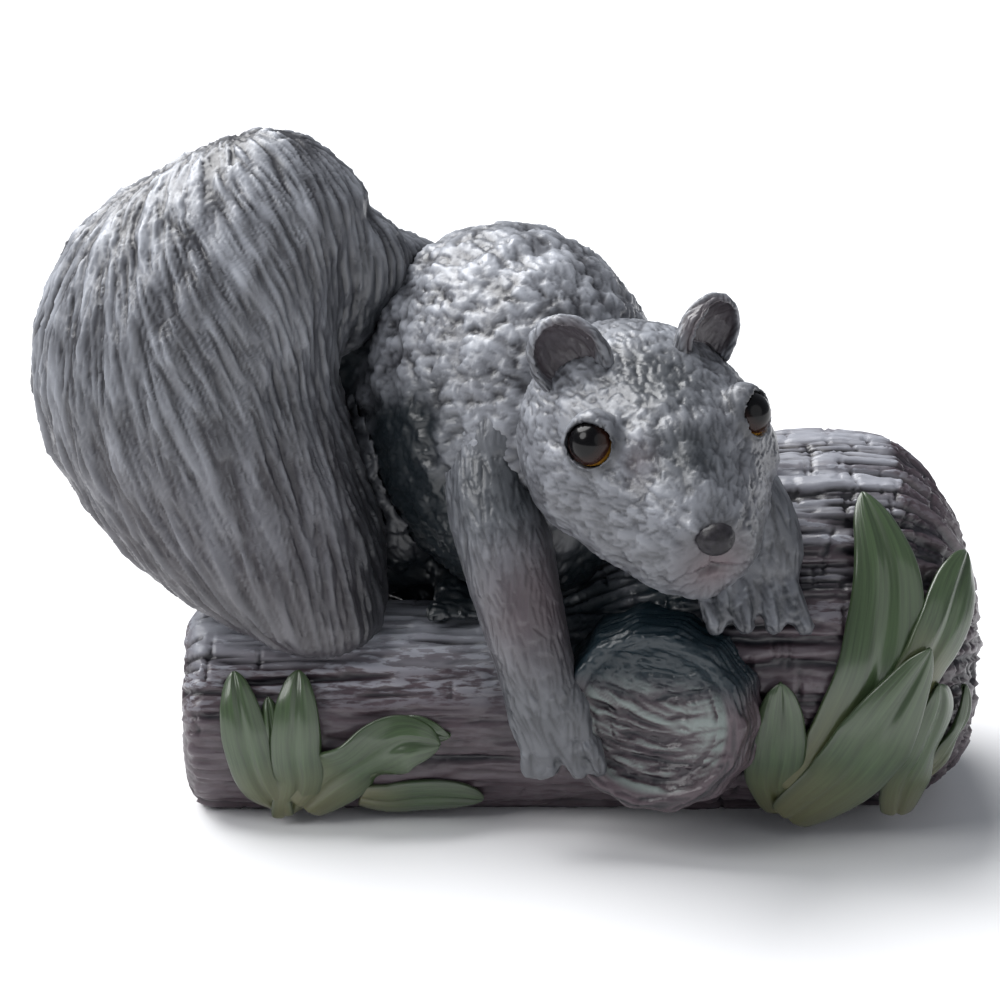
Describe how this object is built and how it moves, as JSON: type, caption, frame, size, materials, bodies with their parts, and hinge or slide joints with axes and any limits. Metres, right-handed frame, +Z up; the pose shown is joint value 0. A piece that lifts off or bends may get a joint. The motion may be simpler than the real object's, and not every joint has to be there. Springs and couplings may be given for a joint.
{
  "type": "squirrel figurine",
  "caption": "Cast resin squirrel sprawled over a bark log with its plume tail hanging down and leaf sprigs in front, a free-standing shelf or garden ornament",
  "frame": {"origin": "on the flat underside of the log, where the tail end of the body sits above it", "axes": "+X along the log from its thin limb to its thick trunk, +Y from the face to the back, +Z up; the squirrel faces -Y"},
  "size_m": [0.1747, 0.1039, 0.1229],
  "materials": {
    "fur": "satin",
    "bark": "gloss",
    "stub_wood": "satin",
    "leaf": "satin",
    "eye_glass": "gloss",
    "nose_pad": "gloss"
  },
  "bodies": {
    "root": {"log": "bark", "branch_stub": "stub_wood", "torso": "fur", "head": "fur", "right_eye": "eye_glass", "left_eye": "eye_glass", "right_ear": "fur", "left_ear": "fur", "nose": "nose_pad", "right_foreleg": "fur", "left_foreleg": "fur", "right_hind_leg": "fur", "left_hind_leg": "fur", "tail": "fur", "left_leaf_outer": "leaf", "left_leaf_tall": "leaf", "left_leaf_small": "leaf", "left_leaf_arched": "leaf", "left_leaf_behind": "leaf", "left_leaf_low": "leaf", "right_leaf_inner": "leaf", "right_leaf_front": "leaf", "right_leaf_tall": "leaf", "right_leaf_upper": "leaf", "right_leaf_outer": "leaf", "right_leaf_behind": "leaf"}
  },
  "joints": []
}
